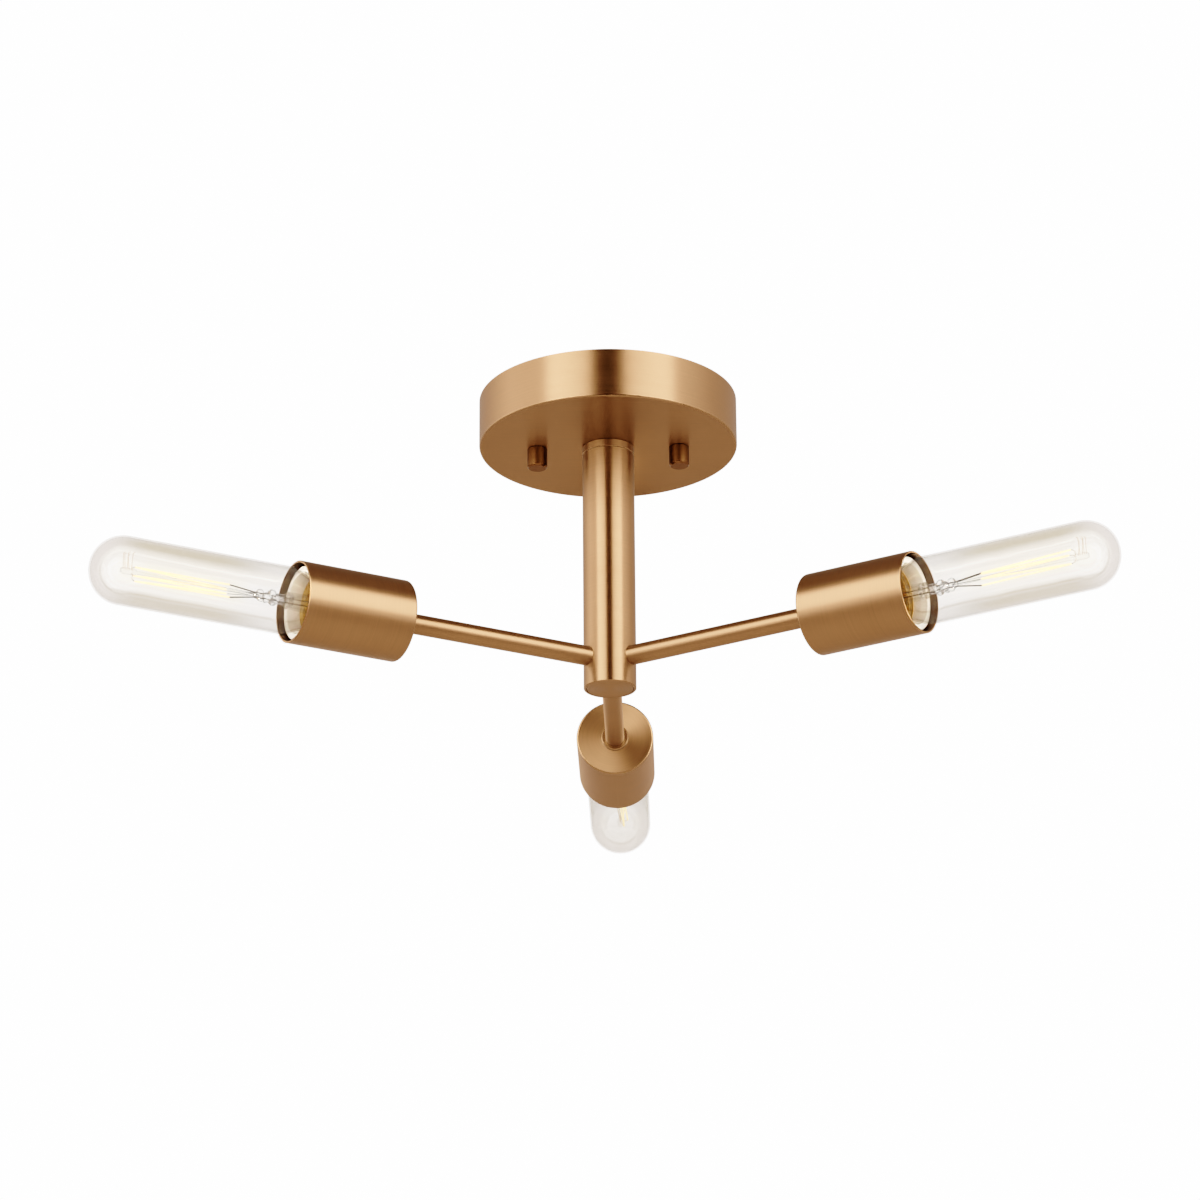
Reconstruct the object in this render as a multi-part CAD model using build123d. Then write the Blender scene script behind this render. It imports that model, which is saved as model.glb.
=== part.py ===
from build123d import *
import math
import os

os.makedirs("parts", exist_ok=True)

# Three-arm semi flush ceiling light with exposed tubular bulbs.
# Millimetres, +Z up. The origin is the centre of the ceiling plane: the canopy
# rim and the mounting strap lie against z = 0 and the light hangs below it.
# The three arms are horizontal and evenly spaced. The rear arm points to +Y,
# the strap and the two finial nuts lie along X.

# ---------------------------------------------------------------- dimensions
CANOPY_D = 127.0
CANOPY_H = 24.6
CANOPY_T = 1.2
CANOPY_EDGE_R = 0.9

STRAP_L = 108.0
STRAP_W = 19.0
STRAP_T = 2.0
BOX_SLOT_SPACING = 88.9
BOX_SLOT_L = 11.0
BOX_SLOT_R = 2.4
STUD_SPACING = 69.85
STUD_R = 2.08
STUD_END_Z = -31.5

NUT_D = 9.8
NUT_H = 10.2
NUT_BORE_R = 2.15
NUT_BORE_DEPTH = 7.8

STEM_D = 25.4
STEM_T = 1.2
COLLAR_H = 4.0
STEM_BOTTOM_Z = -151.0
PLUG_T = 4.0
NIPPLE_R = 8.4
NIPPLE_BORE_R = 6.5
NIPPLE_TOP_Z = -15.4
NIPPLE_BOTTOM_Z = -38.0

ARM_Z = -136.0
ARM_D = 9.525
ARM_BORE_R = 3.6
ARM_START = 9.6
ARM_END = 119.4
ARM_ANGLES = {"rear": 90.0, "left": 210.0, "right": 330.0}

CUP_D = 39.0
CUP_T = 1.0
CUP_REAR_T = 1.2
CUP_START = 113.0
CUP_END = 168.0
RING_D = 13.8
RING_T = 1.2

BODY_R = 17.75
BODY_START = 119.5
BODY_END = 165.0
BODY_BORE_R = 14.15
BODY_MOUTH_R = 14.5
WEB_START = 124.0
WEB_END = 128.0
BACK_CAVITY_R = 8.5

# Edison thread. The wall is a circle whose centre runs round a helix of radius
# THREAD_A, which gives a rounded rolled thread. Socket and lamp share it.
PITCH = 3.629
THREAD_A = 0.40
SHELL_R = 13.0
SHELL_T = 0.35
SHELL_END = 158.5
BASE_R = 12.75
BASE_T = 0.30
BASE_START = 134.6
BASE_END = 155.6

BULB_R = 16.0
BULB_TIP = 269.0
BULB_CONTACT = 129.3
GLASS_T = 0.7
LEAD_R = 0.28
LEAD_TOP = (-2.6, 3.6)
HOOK_R = 0.13
FIL_R = 0.2
FIL_LOW = 200.6
FIL_HIGH = 246.8
FIL_R_LOW = 2.4
FIL_R_HIGH = 4.0

WIRE_R = 1.0
GROUND_R = 0.8


# ------------------------------------------------------------------- helpers
def poly_rev(pts):
    """Solid of revolution about Z from a closed profile of (radius, height)."""
    face = make_face(Plane.XZ * Polyline(*[(x, z) for x, z in pts], close=True))
    return revolve(face, Axis.Z, 360)


def edges_rev(edges):
    return revolve(make_face(edges), Axis.Z, 360)


def tube(r_out, r_in, z0, z1):
    return poly_rev([(r_in, z0), (r_out, z0), (r_out, z1), (r_in, z1)])


def rod(r, z0, z1):
    return Pos(0, 0, z0) * extrude(Circle(r), z1 - z0)


def hexagon(across_flats, z0, z1, bore):
    body = Pos(0, 0, z0) * extrude(RegularPolygon(across_flats / 2, 6, major_radius=False), z1 - z0)
    chamfered = body & poly_rev(
        [(0, z0), (across_flats * 0.52, z0), (across_flats * 0.585, z0 + 0.6), (across_flats * 0.585, z1 - 0.6), (across_flats * 0.52, z1), (0, z1)]
    )
    return chamfered - rod(bore, z0 - 1, z1 + 1)


def thread_solid(r, z0, z1):
    """Rounded screw form: a circle carried round the helix, in phase with z = 0."""
    turn = math.degrees(2 * math.pi * z0 / PITCH)
    path = Helix(pitch=PITCH, height=z1 - z0, radius=THREAD_A)
    start = path @ 0
    section = Pos(start.X, start.Y, start.Z) * Circle(r)
    return Pos(0, 0, z0) * Rot(0, 0, turn) * sweep(section, path, normal=(0, 0, 1))


def wire(points, radii, r):
    path = FilletPolyline(*points, radius=radii)
    return sweep((path ^ 0) * Circle(r), path)


def place(shape, angle):
    """A piece built along +Z, with z the distance from the stem, onto its arm."""
    return Pos(0, 0, ARM_Z) * Rot(0, 0, angle) * Rot(0, 90, 0) * shape


def solids_of(*shapes):
    out = []
    for s in shapes:
        out += list(s.solids())
    return Compound(children=out) if len(out) > 1 else out[0]


def arm_point(angle, along, side, z):
    a = math.radians(angle)
    return (along * math.cos(a) - side * math.sin(a), along * math.sin(a) + side * math.cos(a), z)


nodes = {}

# -------------------------------------------------------- ceiling attachment
strap = Pos(0, 0, -STRAP_T) * extrude(RectangleRounded(STRAP_L, STRAP_W, 4.0), STRAP_T)
for s in (-1, 1):
    strap -= Pos(s * BOX_SLOT_SPACING / 2, 0, -STRAP_T - 1) * extrude(
        SlotOverall(BOX_SLOT_L, 2 * BOX_SLOT_R), STRAP_T + 2
    )
    strap -= Pos(s * STUD_SPACING / 2, 0, 0) * rod(STUD_R + 0.05, -STRAP_T - 1, 1)
strap -= rod(5.2, -STRAP_T - 1, 1)
GROUND_X = -21.0
strap -= Pos(GROUND_X, 0, 0) * rod(2.08, -STRAP_T - 1, 1)
strap -= Pos(21.0, 0, 0) * rod(2.08, -STRAP_T - 1, 1)
nodes["mounting_strap"] = strap

# studs: pan heads inside the junction box, shanks down through the canopy
stud = poly_rev(
    [(0, 2.6), (2.6, 2.6), (4.0, 1.6), (4.0, 0.0), (STUD_R, 0.0), (STUD_R, STUD_END_Z + 0.5), (STUD_R - 0.5, STUD_END_Z), (0, STUD_END_Z)]
)
stud -= Pos(0, 0, 2.0) * (Box(1.2, 9.0, 2.4))
nodes["mounting_studs"] = solids_of(*[Pos(s * STUD_SPACING / 2, 0, 0) * stud for s in (-1, 1)])
lock_nut = hexagon(8.7, -STRAP_T - 3.0, -STRAP_T, STUD_R + 0.02)
nodes["stud_lock_nuts"] = solids_of(*[Pos(s * STUD_SPACING / 2, 0, 0) * lock_nut for s in (-1, 1)])

ground_screw = poly_rev([(0, -6.3), (1.4, -6.3), (3.7, -5.2), (3.7, -3.6), (2.05, -3.6), (2.05, 3.0), (1.6, 3.6), (0, 3.6)])
ground_screw -= Pos(0, 0, -5.9) * Box(1.0, 9.0, 1.6)
nodes["ground_screw"] = Pos(GROUND_X, 0, 0) * ground_screw

# ------------------------------------------------------------------- canopy
R = CANOPY_D / 2
e = CANOPY_EDGE_R
profile = [
    Plane.XZ * Line((R, 0), (R, -CANOPY_H + e)),
    Plane.XZ * RadiusArc((R, -CANOPY_H + e), (R - e, -CANOPY_H), e),
    Plane.XZ * Line((R - e, -CANOPY_H), (NIPPLE_R + 0.15, -CANOPY_H)),
    Plane.XZ * Line((NIPPLE_R + 0.15, -CANOPY_H), (NIPPLE_R + 0.15, -CANOPY_H + CANOPY_T)),
    Plane.XZ * Line((NIPPLE_R + 0.15, -CANOPY_H + CANOPY_T), (R - CANOPY_T, -CANOPY_H + CANOPY_T)),
    Plane.XZ * Line((R - CANOPY_T, -CANOPY_H + CANOPY_T), (R - CANOPY_T, 0)),
    Plane.XZ * Line((R - CANOPY_T, 0), (R, 0)),
]
canopy = edges_rev(profile)
for s in (-1, 1):
    canopy -= Pos(s * STUD_SPACING / 2, 0, 0) * rod(STUD_R + 0.35, -CANOPY_H - 1, -CANOPY_H + CANOPY_T + 1)
nodes["canopy"] = canopy

# finial nuts: plain round thumb nuts, closed at the bottom
nut_r = NUT_D / 2
nut = poly_rev(
    [
        (NUT_BORE_R, -CANOPY_H - 0.05),
        (nut_r - 0.25, -CANOPY_H - 0.05),
        (nut_r, -CANOPY_H - 0.3),
        (nut_r, -CANOPY_H - NUT_H + 0.7),
        (nut_r - 0.7, -CANOPY_H - NUT_H),
        (0, -CANOPY_H - NUT_H),
        (0, -CANOPY_H - NUT_BORE_DEPTH - 0.8),
        (NUT_BORE_R, -CANOPY_H - NUT_BORE_DEPTH),
    ]
)
nodes["finial_nut_left"] = Pos(-STUD_SPACING / 2, 0, 0) * nut
nodes["finial_nut_right"] = Pos(STUD_SPACING / 2, 0, 0) * nut

# --------------------------------------------------------------------- stem
sr = STEM_D / 2
si = sr - STEM_T
ct = -CANOPY_H
cb = ct - COLLAR_H
collar = poly_rev(
    [
        (NIPPLE_R + 0.02, ct),
        (sr - 0.3, ct),
        (sr, ct - 0.3),
        (sr, cb + 0.3),
        (sr - 0.3, cb),
        (si - 0.02, cb),
        (si - 0.02, cb - 8.0),
        (NIPPLE_R + 0.02, cb - 8.0),
    ]
)
nodes["stem_collar"] = collar
stem = poly_rev(
    [(si, cb), (sr - 0.3, cb), (sr, cb - 0.3), (sr, STEM_BOTTOM_Z + 0.35), (sr - 0.35, STEM_BOTTOM_Z), (si, STEM_BOTTOM_Z)]
)
for a in ARM_ANGLES.values():
    stem -= place(rod(ARM_D / 2 + 0.03, 4.0, 20.0), a)
nodes["stem_tube"] = stem
nodes["stem_end_plug"] = poly_rev(
    [
        (0, STEM_BOTTOM_Z),
        (si - 0.3, STEM_BOTTOM_Z),
        (si - 0.02, STEM_BOTTOM_Z + 0.28),
        (si - 0.02, STEM_BOTTOM_Z + PLUG_T),
        (0, STEM_BOTTOM_Z + PLUG_T),
    ]
)
nodes["threaded_nipple"] = tube(NIPPLE_R, NIPPLE_BORE_R, NIPPLE_BOTTOM_Z, NIPPLE_TOP_Z)
floor_z = -CANOPY_H + CANOPY_T
nodes["nipple_lock_washer"] = tube(12.6, NIPPLE_R + 0.1, floor_z, floor_z + 1.2)
LUG_T = 0.8
nodes["nipple_nut"] = hexagon(23.0, floor_z + 1.2 + LUG_T, floor_z + 5.4 + LUG_T, NIPPLE_R + 0.02)

# ------------------------------------------------------------- ground wire
lug_z0 = floor_z + 1.2
lug = tube(12.2, NIPPLE_R + 0.1, lug_z0, lug_z0 + LUG_T)
lug += Pos(-14.6, 0, lug_z0 + LUG_T / 2) * Box(7.0, 4.2, LUG_T)
hook = Pos(GROUND_X, 0, 0) * tube(3.9, 2.2, -3.6, -2.0)
gpts = [
    (-15.6, 0, lug_z0 + 1.2),
    (-29.5, 0, lug_z0 + 1.2),
    (-28.6, 0, -2.85),
    (-24.2, 0, -2.85),
]
gpath = FilletPolyline(*gpts, radius=[6.0, 2.6])
gwire = sweep((gpath ^ 0) * Circle(GROUND_R), gpath)
nodes["ground_wire"] = gwire + lug + hook

# --------------------------------------------------- arms, cups and sockets
sleeve = []
lock = []
straps = []
strap_screws = []
for name, ang in ARM_ANGLES.items():
    arm = tube(ARM_D / 2, ARM_BORE_R, ARM_START, ARM_END)
    nodes["arm_tube_" + name] = place(arm, ang)

    ring_r = RING_D / 2
    ring = poly_rev(
        [
            (ARM_D / 2 + 0.02, CUP_START - RING_T),
            (ring_r - 0.45, CUP_START - RING_T),
            (ring_r, CUP_START - RING_T + 0.45),
            (ring_r, CUP_START),
            (ARM_D / 2 + 0.02, CUP_START),
        ]
    )
    sleeve.append(place(ring, ang))
    lock.append(place(hexagon(14.0, CUP_START + CUP_REAR_T, CUP_START + CUP_REAR_T + 3.4, ARM_D / 2 + 0.02), ang))

    cr = CUP_D / 2
    ci = cr - CUP_T
    cup_edges = [
        Plane.XZ * Line((ARM_D / 2 + 0.03, CUP_START), (cr - 0.8, CUP_START)),
        Plane.XZ * RadiusArc((cr - 0.8, CUP_START), (cr, CUP_START + 0.8), -0.8),
        Plane.XZ * Line((cr, CUP_START + 0.8), (cr, CUP_END - 0.15)),
        Plane.XZ * Line((cr, CUP_END - 0.15), (cr - 0.15, CUP_END)),
        Plane.XZ * Line((cr - 0.15, CUP_END), (ci, CUP_END)),
        Plane.XZ * Line((ci, CUP_END), (ci, CUP_START + CUP_REAR_T)),
        Plane.XZ * Line((ci, CUP_START + CUP_REAR_T), (ARM_D / 2 + 0.03, CUP_START + CUP_REAR_T)),
        Plane.XZ * Line((ARM_D / 2 + 0.03, CUP_START + CUP_REAR_T), (ARM_D / 2 + 0.03, CUP_START)),
    ]
    nodes["socket_cup_" + name] = place(edges_rev(cup_edges), ang)

    # porcelain body with a back cavity, a web and a bore for the screw shell
    body = poly_rev(
        [
            (0, WEB_START),
            (BACK_CAVITY_R, WEB_START),
            (BACK_CAVITY_R, BODY_START),
            (BODY_R - 0.6, BODY_START),
            (BODY_R, BODY_START + 0.6),
            (BODY_R, BODY_END - 0.7),
            (BODY_R - 0.2, BODY_END - 0.2),
            (BODY_R - 0.7, BODY_END),
            (BODY_MOUTH_R + 0.6, BODY_END),
            (BODY_MOUTH_R + 0.15, BODY_END - 0.2),
            (BODY_MOUTH_R, BODY_END - 0.7),
            (BODY_BORE_R, BODY_END - 3.5),
            (BODY_BORE_R, WEB_END),
            (0, WEB_END),
        ]
    )
    for y in (-5.2, 5.2):
        body -= Pos(0, y, 0) * rod(1.25, WEB_START - 1, WEB_END + 1)
    for x in (-13.0, 13.0):
        body -= Pos(x, 0, 0) * rod(1.55, BODY_START - 1, 126.2)
    nodes["socket_body_" + name] = place(body, ang)

    strap_z1 = BODY_START
    bracket = Pos(0, 0, strap_z1 - 1.4) * extrude(RectangleRounded(32.0, 10.5, 3.0), 1.4)
    bracket -= rod(ARM_D / 2 + 0.02, strap_z1 - 3, strap_z1 + 1)
    for x in (-13.0, 13.0):
        bracket -= Pos(x, 0, 0) * rod(1.6, strap_z1 - 3, strap_z1 + 1)
    straps.append(place(bracket, ang))
    sc = poly_rev([(0, 116.1), (1.6, 116.1), (2.7, 116.9), (2.7, 118.1), (1.5, 118.1), (1.5, 125.2), (0, 126.0)])
    sc -= Pos(0, 0, 116.4) * Box(0.9, 7.0, 1.2)
    for x in (-13.0, 13.0):
        strap_screws.append(place(Pos(x, 0, 0) * sc, ang))

    # screw shell: floor ring with one inward tab, rolled thread to the mouth
    shell = thread_solid(SHELL_R + SHELL_T, WEB_END, SHELL_END) - thread_solid(SHELL_R, WEB_END + 0.45, SHELL_END + 2.0)
    floor_cut = rod(10.2, WEB_END - 1, WEB_END + 1.5) - Pos(0, -8.0, WEB_END) * Box(4.4, 9.0, 8.0)
    shell -= floor_cut
    shell -= Pos(0, -5.2, 0) * rod(1.22, WEB_END - 1, WEB_END + 1)
    rivet = poly_rev([(0, 123.0), (1.9, 123.0), (1.9, 123.6), (1.2, 123.6), (1.2, 128.45), (2.0, 128.45), (1.5, 129.0), (0, 129.0)])
    tail = Pos(0, 0, 123.8) * Box(3.0, 1.0, 0.4)
    shell_tail = Pos(0, -3.4, 123.8) * Box(3.2, 5.6, 0.4) - Pos(0, -5.2, 0) * rod(1.2, 122, 126)
    shell = shell + Pos(0, -5.2, 0) * rivet
    shell = shell + shell_tail
    nodes["screw_shell_" + name] = place(shell, ang)

    # centre contact: riveted leaf on the floor, raised under the lamp's tip
    leaf = Pos(0, 0, 0) * extrude(
        Plane.YZ.offset(-2.2) * make_face(Polyline((7.4, 128.0), (3.2, 128.0), (1.6, 128.55), (-1.8, 128.55), (-1.8, 129.0), (1.4, 129.0), (3.0, 128.45), (7.4, 128.45), close=True)),
        4.4,
    )
    leaf -= Pos(0, 5.2, 0) * rod(1.2, 126, 130)
    leaf_tail = Pos(0, 3.4, 123.8) * Box(3.2, 5.6, 0.4) - Pos(0, 5.2, 0) * rod(1.2, 122, 126)
    contact = leaf + Pos(0, 5.2, 0) * rivet + leaf_tail
    nodes["centre_contact_" + name] = place(contact, ang)

nodes["arm_rings"] = solids_of(*sleeve)
nodes["arm_lock_nuts"] = solids_of(*lock)
nodes["socket_straps"] = solids_of(*straps)
nodes["strap_screws"] = solids_of(*strap_screws)

# -------------------------------------------------------------------- wires
# Two leads per socket run through the arm, up the stem and the nipple, and
# into two wire connectors in the canopy.
WX = 1.15
black = []
white = []
plan = {
    # arm: (side of the black lead, black end x and z, white end x and z)
    "rear": (1, (0.0, -12.3), (0.0, -12.3)),
    "left": (-1, (-1.3, -9.7), (-1.3, -9.7)),
    "right": (1, (1.3, -9.7), (1.3, -9.7)),
}
for name, ang in ARM_ANGLES.items():
    side, bend_b, bend_w = plan[name]
    for kind, sgn, (ex, ez), ydir in (("b", side, bend_b, 1), ("w", -side, bend_w, -1)):
        p0 = arm_point(ang, 123.55, sgn * WX, ARM_Z)
        p1 = arm_point(ang, 4.2, sgn * WX, ARM_Z)
        p2 = (p1[0], p1[1], ez)
        p3 = (ex, ydir * 17.0, ez)
        p4 = (ex, ydir * 28.0, ez)
        w = wire([p0, p1, p2, p3, p4], [4.6, 3.0, 14.0], WIRE_R)
        length = 0.0
        print(name, kind, "lead, volume over section (mm):", round(w.volume / (math.pi * WIRE_R**2), 1))
        (black if kind == "b" else white).append(w)
nodes["wires_black"] = solids_of(*black)
nodes["wires_white"] = solids_of(*white)

conn = poly_rev([(3.4, 0), (6.6, 0), (6.3, 4.0), (5.2, 22.0), (4.4, 23.6), (2.6, 24.4), (0, 24.4), (0, 14.0), (3.0, 12.0)])
conns = []
for ydir in (1, -1):
    conns.append(Pos(0, ydir * 19.0, -10.9) * Rot(-90 * ydir, 0, 0) * conn)
nodes["wire_connectors"] = solids_of(*conns)

# -------------------------------------------------------------------- bulbs
# Tubular clear glass lamp with a screw base, built along +Z from its contact.
for name, ang in ARM_ANGLES.items():
    n = "bulb_" + name

    def glass_profile(t, z_start):
        rn, rb = 12.0 - t, BULB_R - t
        return rn, rb

    t = GLASS_T
    RB = BULB_R
    zc = BULB_TIP - RB
    outer = [
        Plane.XZ * Line((11.6, 149.5), (11.6, 156.0)),
        Plane.XZ * Spline((11.6, 156.0), (12.1, 160.8), (13.9, 165.9), (15.75, 170.2), (RB, 174.0), tangents=[(0, 1), (0, 1)]),
        Plane.XZ * Line((RB, 174.0), (RB, zc)),
        Plane.XZ * RadiusArc((RB, zc), (0, BULB_TIP), -RB),
        Plane.XZ * Line((0, BULB_TIP), (0, BULB_TIP - t)),
        Plane.XZ * RadiusArc((0, BULB_TIP - t), (RB - t, zc), RB - t),
        Plane.XZ * Line((RB - t, zc), (RB - t, 174.0)),
        Plane.XZ * Spline((RB - t, 174.0), (15.75 - t, 170.4), (13.9 - t, 166.2), (12.1 - t, 161.1), (11.6 - t, 156.2), tangents=[(0, -1), (0, -1)]),
        Plane.XZ * Line((11.6 - t, 156.2), (11.6 - t, 149.5)),
        Plane.XZ * Line((11.6 - t, 149.5), (11.6, 149.5)),
    ]
    nodes[n + "_glass"] = place(edges_rev(outer), ang)

    base = thread_solid(BASE_R, BASE_START, BASE_END) - thread_solid(BASE_R - BASE_T, BASE_START + 0.5, BASE_END + 2.0)
    base -= rod(9.5, BASE_START - 1, BASE_START + 1)
    top_ring = poly_rev([(11.65, BASE_END - 0.4), (12.3, BASE_END - 0.4), (12.45, BASE_END), (12.2, BASE_END + 0.9), (11.65, BASE_END + 0.9)])
    base = base + top_ring
    nodes[n + "_screw_base"] = place(base, ang)

    ins = poly_rev(
        [
            (1.58, 130.95),
            (5.6, 130.95),
            (9.0, BASE_START - 0.4),
            (9.45, BASE_START),
            (9.45, BASE_START + 0.5),
            (11.6, BASE_START + 0.5),
            (11.6, BASE_START + 2.2),
            (0, BASE_START + 2.2),
            (0, 133.9),
            (1.58, 133.9),
        ]
    )
    nodes[n + "_insulator"] = place(ins, ang)
    tip = edges_rev(
        [
            Plane.XZ * ThreePointArc((0, BULB_CONTACT), (2.6, BULB_CONTACT + 0.42), (4.2, BULB_CONTACT + 1.25)),
            Plane.XZ * Line((4.2, BULB_CONTACT + 1.25), (4.2, 130.85)),
            Plane.XZ * Line((4.2, 130.85), (1.5, 130.85)),
            Plane.XZ * Line((1.5, 130.85), (1.5, 133.4)),
            Plane.XZ * Line((1.5, 133.4), (0, 133.4)),
            Plane.XZ * Line((0, 133.4), (0, BULB_CONTACT)),
        ]
    )
    nodes[n + "_contact_tip"] = place(tip, ang)

    # glass mount: flare sealed in the neck, stem, flattened press and a rod
    flare = poly_rev(
        [
            (10.7, 150.0),
            (10.7, 151.2),
            (8.2, 153.6),
            (5.6, 158.0),
            (4.3, 164.0),
            (4.0, 172.0),
            (0, 172.0),
            (0, 170.0),
            (3.2, 169.0),
            (3.4, 164.0),
            (4.7, 157.4),
            (7.5, 152.9),
            (9.6, 150.0),
        ]
    )
    neck = rod(2.6, 171.0, 178.0)
    bead = neck
    for bx, by, bz, br in ((1.7, 0.2, 178.6, 2.2), (-1.8, 0.3, 179.0, 2.1), (0.2, -0.4, 181.4, 2.5), (1.9, 0.1, 182.6, 1.5), (1.2, 0.3, 184.6, 1.9), (-1.3, -0.2, 184.9, 2.0), (0.1, 0.0, 186.6, 1.7)):
        bead += Pos(bx, by, bz) * Sphere(br)
    mount_rod = poly_rev([(0, 186.0), (1.0, 186.0), (0.85, 190.0), (0.8, 203.0), (0.8, 246.4), (1.5, 247.2), (1.75, 248.2), (1.6, 251.0), (1.7, 253.4), (1.2, 254.4), (0, 254.6)])
    mount = flare + bead + mount_rod

    # lead-in wires: from the contact and from the base wall, up through the
    # flare and the bead to the ends of the filament
    wires_in_glass = [
        ([(-1.15, 0, BASE_START + 2.25), (-1.15, 0, 187.2), (LEAD_TOP[0], 0, FIL_LOW - 0.24)], [8.0], LEAD_R),
        ([(11.9, 0, 145.6), (1.15, 0, 145.6), (1.15, 0, 187.2), (LEAD_TOP[1], 0, FIL_LOW - 0.24)], [3.0, 8.0], LEAD_R),
    ]
    # fine hooks: two at the bottom turns, three at the top turns
    for ang_h in (240, 300):
        ca, sa = math.cos(math.radians(ang_h)), math.sin(math.radians(ang_h))
        wires_in_glass.append(
            ([(0.7 * ca, 0.7 * sa, 185.4), (0.9 * ca, 0.9 * sa, 188.6), (FIL_R_LOW * ca, FIL_R_LOW * sa, FIL_LOW - 0.15)], [4.0], HOOK_R)
        )
    for ang_h in (210, 270, 330):
        ca, sa = math.cos(math.radians(ang_h)), math.sin(math.radians(ang_h))
        wires_in_glass.append(
            ([(0.8 * ca, 0.8 * sa, 248.3), (3.0 * ca, 3.0 * sa, 248.3), (FIL_R_HIGH * ca, FIL_R_HIGH * sa, FIL_HIGH + 0.12)], [0.8], HOOK_R)
        )
    # a row of spring wires that steadies the top of the mount
    for i, ang_h in enumerate((168, 192, 174, 186, 180)):
        ca, sa = math.cos(math.radians(ang_h)), math.sin(math.radians(ang_h))
        zi = 249.3 + 1.0 * i
        wires_in_glass.append(([(0.7 * ca, 0.7 * sa, zi), (8.6 * ca, 8.6 * sa, zi), (9.3 * ca, 9.3 * sa, zi - 0.9)], [0.5], HOOK_R))
    leads = []
    for pts_w, radii_w, r_w in wires_in_glass:
        leads.append(wire(pts_w, radii_w, r_w))
        mount -= wire(pts_w, radii_w, r_w + 0.02)
    nodes[n + "_glass_mount"] = place(mount, ang)
    nodes[n + "_support_wires"] = place(solids_of(*leads), ang)

    # filament: strands up and down, wider apart at the top than at the bottom
    pts = [(LEAD_TOP[0], 0, FIL_LOW - 0.18)]
    for k_f, ang_f in enumerate((210, 240, 270, 300, 330)):
        up = k_f % 2 == 0
        r_f = FIL_R_HIGH if up else FIL_R_LOW
        pts.append((r_f * math.cos(math.radians(ang_f)), r_f * math.sin(math.radians(ang_f)), FIL_HIGH if up else FIL_LOW + 0.3))
    pts.append((LEAD_TOP[1], 0, FIL_LOW - 0.18))
    fil = wire(pts, [0.35] * (len(pts) - 2), FIL_R)
    nodes[n + "_filament"] = place(fil, ang)

for k, v in nodes.items():
    export_step(v, "parts/%s.step" % k)
print(len(nodes), "nodes")
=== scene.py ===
import math

import bmesh
import bpy
from mathutils import Matrix, Vector


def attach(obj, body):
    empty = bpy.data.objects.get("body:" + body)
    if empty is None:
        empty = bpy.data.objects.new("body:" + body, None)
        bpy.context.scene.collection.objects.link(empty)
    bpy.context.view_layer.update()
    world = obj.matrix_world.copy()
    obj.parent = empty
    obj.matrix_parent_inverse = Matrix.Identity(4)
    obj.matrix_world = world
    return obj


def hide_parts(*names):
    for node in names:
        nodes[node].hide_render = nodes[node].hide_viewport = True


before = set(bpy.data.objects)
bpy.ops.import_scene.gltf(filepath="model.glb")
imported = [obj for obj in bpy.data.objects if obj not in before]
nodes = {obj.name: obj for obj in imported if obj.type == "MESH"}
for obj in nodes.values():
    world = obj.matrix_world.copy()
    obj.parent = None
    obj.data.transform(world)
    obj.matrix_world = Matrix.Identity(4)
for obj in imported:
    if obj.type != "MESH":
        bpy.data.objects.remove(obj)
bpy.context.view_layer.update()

# ---------------------------------------------------------------- sizes shared with the model (metres)
ARM_Z = -0.136
ARMS = {"rear": 90.0, "left": 210.0, "right": 330.0}
AXIS = {k: (math.cos(math.radians(a)), math.sin(math.radians(a)), 0.0) for k, a in ARMS.items()}
ARM_O = (0.0, 0.0, ARM_Z)
UP = (0.0, 0.0, 1.0)

BRASS = (0.80, 0.502, 0.316)
NUT_BRASS = (0.51, 0.30, 0.175)
SECOND = (0.60, 0.575, 0.535)


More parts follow.
